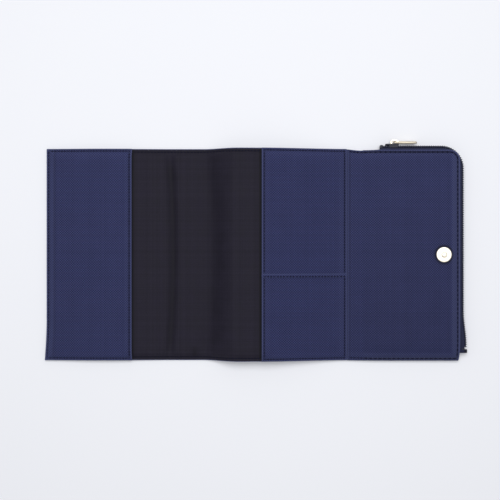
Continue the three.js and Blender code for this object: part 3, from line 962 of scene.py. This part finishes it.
side_inner = panel("side_inner_canvas", (SIDE_FOLD - 0.1, MID_SIDE), BODY_Y, flap_inner_mid, CANVAS,
                   (True, False), hems=LONG_HEMS, warp=side_warp, shade=side_shade, step=1.1)
finish_piece(side_inner, CANVAS_LOOK, "canvas", SIDE_BEND, "side_inner")


# Radius of the painted ring of shadow round the snap.
SNAP_SHADOW_RADIUS = 5.8


def snap_shade(x, y):
    """Painted shade: a dark ring of shadow round the snap, and darker towards the flap's bottom."""
    return np.maximum(bell(np.hypot(x - SNAP[0], y - SNAP[1]), SNAP_SHADOW_RADIUS, 0.95), 0.22 * downward(y))


# The flap's hems get strong painted shade in their grooves, and painted highlight on their raised bands.
flap_inner = panel("flap_inner_canvas", (MID_SIDE, RIGHT), FLAP_Y, flap_inner_mid, CANVAS, (False, True),
                   hems=(False, True, True, True), warp=corner_warp, shade=snap_shade, step=0.8,
                   hem_highlight=(0, 0.4, 0.25, 0.12), hem_groove_shade=1.0)
pierce(flap_inner, SNAP, 1.5)
finish_piece(flap_inner, CANVAS_LOOK, "canvas", FLAP_BEND, "flap_inner")


# ---- stitching


def on(mid, thick, drop=0.1):
    """The top of a cloth whose middle is mid, in the groove of its stitches."""
    return lambda x, y: mid(x, y) + thick / 2 - drop


def long_sides(x0, x1, half):
    """Both long sides' stitches, of a panel that reaches half to each side."""
    return [line((x0, MID_Y + reach), (x1, MID_Y + reach)) for reach in (half - HEM, HEM - half)]


def upright(x, low, high):
    return line((x, low), (x, high))


pocket_runs = [
    upright(LEFT + HEM, BOTTOM + HEM, TOP - HEM),
    upright(COVER_POCKET_EDGE - HEM, BOTTOM + 3, TOP - 3),
    *long_sides(LEFT + 3, COVER_POCKET_EDGE - 0.5, HALF_BODY),
]
pocket_runs = [flared(run) for run in pocket_runs]
stitches("threads_cover_pocket", pocket_runs, on(cover_pocket_mid, CANVAS), "cover")

for thread_name, start, end, turn in (
    ("threads_cover_lining", COVER_POCKET_EDGE + 1, MID_SPINE, COVER_BEND),
    ("threads_back_lining", MID_SPINE + 0.3, SLOT_EDGE - 1, SPINE_BEND),
):
    stitches(thread_name, long_sides(start, end, HALF_BODY - LINING_INSET), on(lining_mid, LINING), turn)

slot_runs = long_sides(SLOT_EDGE + 0.8, POCKET_END - 1, HALF_BODY)
for seam in (SLOT_EDGE + HEM, POCKET_END - HEM):
    slot_runs += [upright(seam, BOTTOM + 3, DIVIDER - 2), upright(seam, DIVIDER + 2, TOP - 3)]
stitches("threads_slots", slot_runs, on(slot_mid, CANVAS), "back")

divider_run = line((SLOT_EDGE + 1, DIVIDER - 0.9), (POCKET_END - 1, DIVIDER - 0.9))
stitches("threads_divider", [divider_run], on(divider_mid, FOLD_THICK, 0.05), "back")

side_runs = [
    line((SIDE_FOLD + 1.5, FLAP_BOTTOM + HEM), (MID_SIDE, FLAP_BOTTOM + HEM)),
    line((SIDE_FOLD + 1, TOP - HEM - 0.15), (MID_SIDE, FLAP_HIGH - HEM)),
]
stitches("threads_side", side_runs, on(flap_inner_mid, CANVAS), SIDE_BEND)

flap_runs = [
    line((MID_SIDE + 0.3, FLAP_BOTTOM + HEM), (RIGHT - HEM, FLAP_BOTTOM + HEM), COARSE_PITCH),
    corner_line(HEM, MID_SIDE + 0.3, FLAP_BOTTOM + 3),
]
COARSE = {"length": 2.3, "radius": 0.45}
stitches("threads_flap", flap_runs, on(flap_inner_mid, CANVAS), FLAP_BEND, **COARSE)


def under(x, y):
    """Almost the bottom of the outer canvas: its stitches hardly stand out, as the holder lies on them."""
    return outer_mid(x, y) - CANVAS / 2 + 0.3


cover_runs = [pocket_runs[0], *map(flared, long_sides(LEFT + 3, MID_SPINE, HALF_BODY))]
back_runs = long_sides(MID_SPINE + 0.3, OUTER_JOIN, HALF_BODY)
stitches("threads_outer_cover", cover_runs, under, COVER_BEND, side=-1)
stitches("threads_outer_back", back_runs, under, SPINE_BEND, side=-1)
stitches("threads_outer_flap", flap_runs, under, FLAP_BEND, side=-1, **COARSE)

# ---- the zip pocket's lining

BAG = 0.3
BAG_INSET = 1.8
BAG_LOW = CANVAS + 0.6 + BAG / 2


def bag_low_mid(x, y):
    return np.full_like(x, BAG_LOW)


def bag_high_mid(x, y):
    return np.maximum(flap_inner_mid(x, y) - CANVAS / 2 - 0.55 - BAG / 2, BAG_LOW + BAG + 0.1)


def bag_warp(x, y):
    """The bag's corner follows the flap's, further in."""
    moved_x, moved_y = corner_warp(x + BAG_INSET, y + BAG_INSET)
    return moved_x - BAG_INSET, moved_y - BAG_INSET


BAG_X = (FLAP_FOLD + 1, RIGHT - BAG_INSET)
BAG_Y = (FLAP_BOTTOM + BAG_INSET, FLAP_HIGH - BAG_INSET)
bags = []
for bag_name, bag_mid, bag_node in (
    ("zip_bag_outer_cloth", bag_low_mid, "zip_bag_outer"),
    ("zip_bag_inner_cloth", bag_high_mid, "zip_bag_inner"),
):
    bag = panel(bag_name, BAG_X, BAG_Y, bag_mid, BAG, (True, True), warp=bag_warp, step=2.0)
    bags.append(finish_piece(bag, LINING_LOOK, "lining", "flap", bag_node))

# ---- the zip

TAPE = 0.3
TAPE_IN = -6.0
TAPE_LOW_Z = span("zip_tape_outer", 2)[0]
TAPE_HIGH_Z = span("zip_tape_inner", 2)[1]


def tape_outline(flat_z, lip_z, thick):
    """An L in section: what is sewn in between the canvases, and the lip that carries the coil."""
    return [(TAPE_IN, flat_z), (TAPE_OUT, flat_z), (TAPE_OUT, lip_z), (TAPE_OUT - TAPE, lip_z),
            (TAPE_OUT - TAPE, flat_z + thick), (TAPE_IN, flat_z + thick)]


low_tape = tape_outline(TAPE_LOW_Z, COIL_LOW[1], TAPE)
high_tape = tape_outline(TAPE_HIGH_Z, COIL_HIGH[0], -TAPE)[::-1]
for side_name, outline in (("outer", low_tape), ("inner", high_tape)):
    tape = swept(f"zip_tape_{side_name}_cloth", outline, TAPE_START, TAPE_END)
    finish_piece(tape, TAPE_LOOK, "zip_tape", "flap", f"zip_tape_{side_name}")

CORE_NEAR, CORE_FAR = COIL_OUT[0] + 0.2, COIL_OUT[1] - 0.95
CORE_DEEP = 0.45  # below the coil's top and above its bottom
for side_name, (low, high) in (("outer", COIL_LOW), ("inner", COIL_HIGH)):
    teeth = coil(f"zip_coil_{side_name}_teeth", (low, high), COIL_OUT, COIL_START, COIL_END)
    finish_piece(teeth, COIL_LOOK, "zip_coil", "flap", f"zip_coil_{side_name}")
    low, high = low + CORE_DEEP, high - CORE_DEEP
    core = [(CORE_NEAR, low), (CORE_FAR, low), (CORE_FAR, high), (CORE_NEAR, high)]
    cord = swept(f"zip_core_{side_name}", core, COIL_START, COIL_END)
    finish_piece(cord, TAPE_LOOK, "zip_tape", "flap")

# The tapes' tails are folded over each other and stick out beyond the flap's cloth.
TAB_X = (RIGHT + 1.2, span("zip_tape_end", 0)[1])
TAB_Y = span("zip_tape_end", 1)
TAB_HALF = (span("zip_tape_end", 2)[1] - span("zip_tape_end", 2)[0]) / 2 - 0.25
TAB_THICK = 0.45


def tail_turn(half, angles):
    """One face of the folded tape in profile: along, round its end and back."""
    x = TAB_X[1] - TAB_HALF + half * np.cos(angles)
    z = CHAIN_Z + half * np.sin(angles)
    return [(TAB_X[0], z[0]), *zip(x, z), (TAB_X[0], z[-1])]


def make_tail():
    """The folded tape, with its long edges drawn in a little."""
    bend = np.linspace(-np.pi / 2, np.pi / 2, 9)
    loop = np.array(tail_turn(TAB_HALF, bend) + tail_turn(TAB_HALF - TAB_THICK, bend[::-1]))
    centre = np.array([loop[:, 0].mean(), CHAIN_Z])
    steps = np.array([0, 0.04, 0.15, 0.5, 0.85, 0.96, 1])
    pinch = np.array([0.93, 0.98, 1, 1, 1, 0.98, 0.93])
    rings = []
    for share, scale in zip(steps, pinch):
        ring = centre + (loop - centre) * scale
        y = TAB_Y[0] + share * (TAB_Y[1] - TAB_Y[0])
        rings.append(np.column_stack([ring[:, 0], np.full(len(ring), y), ring[:, 1]]))
    points = np.concatenate(rings)
    piece = new_mesh("zip_tail", points, ring_faces(len(steps), len(loop)))
    set_uv(piece, points[:, 0], points[:, 1])
    return piece


finish_piece(make_tail(), TAIL_LOOK, "zip_tape", "flap", "zip_tape_end")


# CAD nodes that are kept as they are, with rounded edges and a proper finish.
for node, look, width in (
    ("zip_slider_body", PAINT_LOOK, 0.22),
    ("zip_top_stop", PAINT_LOOK, 0.3),
    ("zip_bottom_stop", PAINT_LOOK, 0.3),
    ("zip_slider_bridge", PULL_LOOK, 0.25),
):
    piece = bpy.data.objects[node]
    bevel = piece.modifiers.new("rounded_edges", "BEVEL")
    bevel.width = width * MM
    bevel.segments = 3
    bevel.limit_method = "ANGLE"
    bevel.angle_limit = math.radians(28)
    bevel.harden_normals = True
    piece.data.materials.clear()
    piece.data.materials.append(look)

# ---- the pull

PULL_X = span("pull_tab", 0)
PULL_Y = middle("pull_tab", 1)
PULL_HALF = (span("pull_tab", 2)[1] - span("pull_tab", 2)[0]) / 2
PULL_THICK = span("pull_tab", 1)[1] - span("pull_tab", 1)[0]
PULL_BEVEL = 0.22
PULL_TWIST = math.radians(15)  # it hangs a little twisted in its play
WINDOW_LENGTH = 3.4
WINDOW_HALF = 1.05


def pull_outlines():
    """The plate's edge and its window, as (along, up) points round the plate's middle."""
    start, end = PULL_X
    eye, grip = PULL_HALF - 0.3, PULL_HALF
    edge = [(start, -1.6), (start + 0.5, -eye), (start + 5, -eye), (end - 4, -grip), (end, -grip),
            (end, grip), (end - 4, grip), (start + 5, eye), (start + 0.5, eye), (start, 1.6)]
    near, far = start + PULL_THICK, start + PULL_THICK + WINDOW_LENGTH
    window = [(near, WINDOW_HALF), (far, WINDOW_HALF), (far, -WINDOW_HALF), (near, -WINDOW_HALF)]
    return rounded(edge, 1.1, True, 6), rounded(window, 0.4, True, 5)


def make_pull():
    curve = bpy.data.curves.new("pull_outline", "CURVE")
    curve.dimensions = "2D"
    curve.fill_mode = "BOTH"
    for outline in pull_outlines():
        spline = curve.splines.new("POLY")
        spline.points.add(len(outline) - 1)
        for point, (x, z) in zip(spline.points, outline):
            point.co = (x * MM, z * MM, 0, 1)
        spline.use_cyclic_u = True
    curve.extrude = (PULL_THICK / 2 - PULL_BEVEL) * MM
    curve.bevel_depth = PULL_BEVEL * MM
    curve.bevel_resolution = 3
    curve.offset = -PULL_BEVEL * MM
    shape = add("pull_shape", curve)
    graph = bpy.context.evaluated_depsgraph_get()
    mesh = bpy.data.meshes.new_from_object(shape.evaluated_get(graph))
    bpy.data.objects.remove(shape)
    flat = np.array([vertex.co for vertex in mesh.vertices])
    out, up = -flat[:, 2], flat[:, 1]
    cos, sin = math.cos(PULL_TWIST), math.sin(PULL_TWIST)
    placed = np.column_stack([
        flat[:, 0],
        PULL_Y * MM + out * cos - up * sin,
        CHAIN_Z * MM + out * sin + up * cos,
    ])
    mesh.vertices.foreach_set("co", placed.ravel())
    weld = bmesh.new()
    weld.from_mesh(mesh)
    bmesh.ops.remove_doubles(weld, verts=weld.verts, dist=1e-6)
    bmesh.ops.recalc_face_normals(weld, faces=weld.faces)
    weld.to_mesh(mesh)
    weld.free()
    mesh.shade_smooth()
    mesh.set_sharp_from_angle(angle=math.radians(50))
    return add("pull_tab_plate", mesh)


finish_piece(make_pull(), PULL_LOOK, "pull_metal", "puller", "pull_tab")

# ---- the snap

STUD_PROFILE = [(0, 0), (4.6, 0), (5.2, 0.3), (5.2, 0.65), (4.9, 0.9), (4.1, 0.92), (3.4, 0.84),
                (1.9, 0.84), (1.8, 1.0), (1.85, 2.0), (1.5, 2.3), (0, 2.4)]
RIVET_PROFILE = [(0, 0), (4.5, 0), (4.5, 0.4), (1.2, 0.4), (1.2, 1.25), (0, 1.25)]
SOCKET_PROFILE = [(2.2, 0.25), (2.5, 0), (4.7, 0), (5.3, 0.4), (5.3, 1.5), (2.2, 1.5)]
EYELET_PROFILE = [(2.3, 1.25), (2.9, 1.25), (2.9, 2.7), (4.4, 2.7), (4.4, 3.2), (2.3, 3.2)]

for name, profile, place, height, body, node in (
    ("snap_stud_cap", STUD_PROFILE, SNAP, span("snap_stud", 2)[0], "flap", "snap_stud"),
    ("snap_rivet", RIVET_PROFILE, SNAP, span("snap_stud_rivet", 2)[0], "flap", "snap_stud_rivet"),
    ("snap_socket_ring", SOCKET_PROFILE, SOCKET, 0, "cover", "snap_socket"),
    ("snap_eyelet", EYELET_PROFILE, SOCKET, 0, "cover", "snap_socket_eyelet"),
):
    part = turned(name, profile, *place, height, closed=body == "cover")
    finish_piece(part, SNAP_LOOK, "snap_metal", body, node)

# ---- what each cloth was cut to


def run_length(mid, x0, x1):
    """How long the cloth is along the holder, from x0 to x1, in metres."""
    x = np.linspace(x0, x1, 600)
    z = mid(x, np.full_like(x, MID_Y))
    return float(np.hypot(np.diff(x), np.diff(z)).sum()) * MM


def declare(mid, xs, ys):
    """Works out the size that a cloth was cut to, along the holder and across it; the size is not kept."""
    width, height = run_length(mid, *xs), (ys[1] - ys[0]) * MM


declare(outer_mid, (LEFT, MID_SPINE), BODY_Y)
declare(outer_mid, (MID_SPINE, OUTER_JOIN), BODY_Y)
declare(outer_mid, (OUTER_JOIN, MID_SIDE), BODY_Y)
declare(flap_outer_mid, (MID_SIDE, RIGHT), FLAP_Y)
declare(lining_mid, (LEFT + LINING_INSET, MID_SPINE), LINING_Y)
declare(lining_mid, (MID_SPINE, LINING_END), LINING_Y)
declare(cover_pocket_mid, (LEFT, COVER_POCKET_EDGE), BODY_Y)
declare(slot_mid, (SLOT_EDGE, POCKET_END), (DIVIDER, TOP))
declare(slot_mid, (SLOT_EDGE, POCKET_END), (BOTTOM, DIVIDER))
declare(flap_inner_mid, (SIDE_FOLD - 0.1, MID_SIDE), FLAP_Y)
declare(flap_inner_mid, (MID_SIDE, RIGHT), FLAP_Y)
for bag, bag_mid in zip(bags, (bag_low_mid, bag_high_mid)):
    declare(bag_mid, BAG_X, BAG_Y)

# ---- floor, light and camera

CAMERA_HEIGHT = 600.0
VIEW_WIDTH = 342.5  # what the frame shows at the height of the cloth
CLOTH_HEIGHT = 3.0
SENSOR = 36.0
CAMERA_X, CAMERA_Y = -4.4, 0.2
LAMP_PLACE = (0.0, 0.24, 1.05)  # metres
LAMP_SIZE = 0.9
LAMP_WATTS = 9.6
SKY_STRENGTH = 0.345


def make_stage():
    bpy.ops.mesh.primitive_plane_add(size=6.0, location=(0, 0, -0.0004))
    floor = bpy.context.object
    floor.name = "floor"
    shader = Shader("floor_paper")
    shader.link(shader.mix(shader.grain(3.0), (0.86, 0.87, 0.915), (0.88, 0.89, 0.93)), "Base Color")
    shader.set(Roughness=0.9, Specular_IOR_Level=0.1)
    floor.data.materials.append(shader.material)
    floor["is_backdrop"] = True


def make_lights():
    world = bpy.data.worlds.new("studio")
    bpy.context.scene.world = world
    world.use_nodes = True
    sky = world.node_tree.nodes["Background"]
    sky.inputs[0].default_value = (0.97, 0.98, 1.0, 1)
    sky.inputs[1].default_value = SKY_STRENGTH
    light = bpy.data.lights.new("soft_top", "AREA")
    light.shape = "DISK"
    light.size = LAMP_SIZE
    light.energy = LAMP_WATTS
    lamp = add("soft_top", light)
    lamp.location = LAMP_PLACE
    lamp.rotation_mode = "QUATERNION"
    lamp.rotation_quaternion = (-lamp.location).to_track_quat("-Z", "Y")


def make_camera():
    lens = bpy.data.cameras.new("camera")
    lens.sensor_width = SENSOR
    lens.lens = SENSOR * (CAMERA_HEIGHT - CLOTH_HEIGHT) / VIEW_WIDTH
    lens.clip_start = 0.05
    camera = add("camera", lens)
    camera.location = (CAMERA_X * MM, CAMERA_Y * MM, CAMERA_HEIGHT * MM)
    bpy.context.scene.camera = camera


make_stage()
make_lights()
make_camera()
bpy.context.scene.view_settings.view_transform = "Standard"

low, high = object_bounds()
{"cad": [list(cad_low), list(cad_high)], "visual": [list(low), list(high)]}
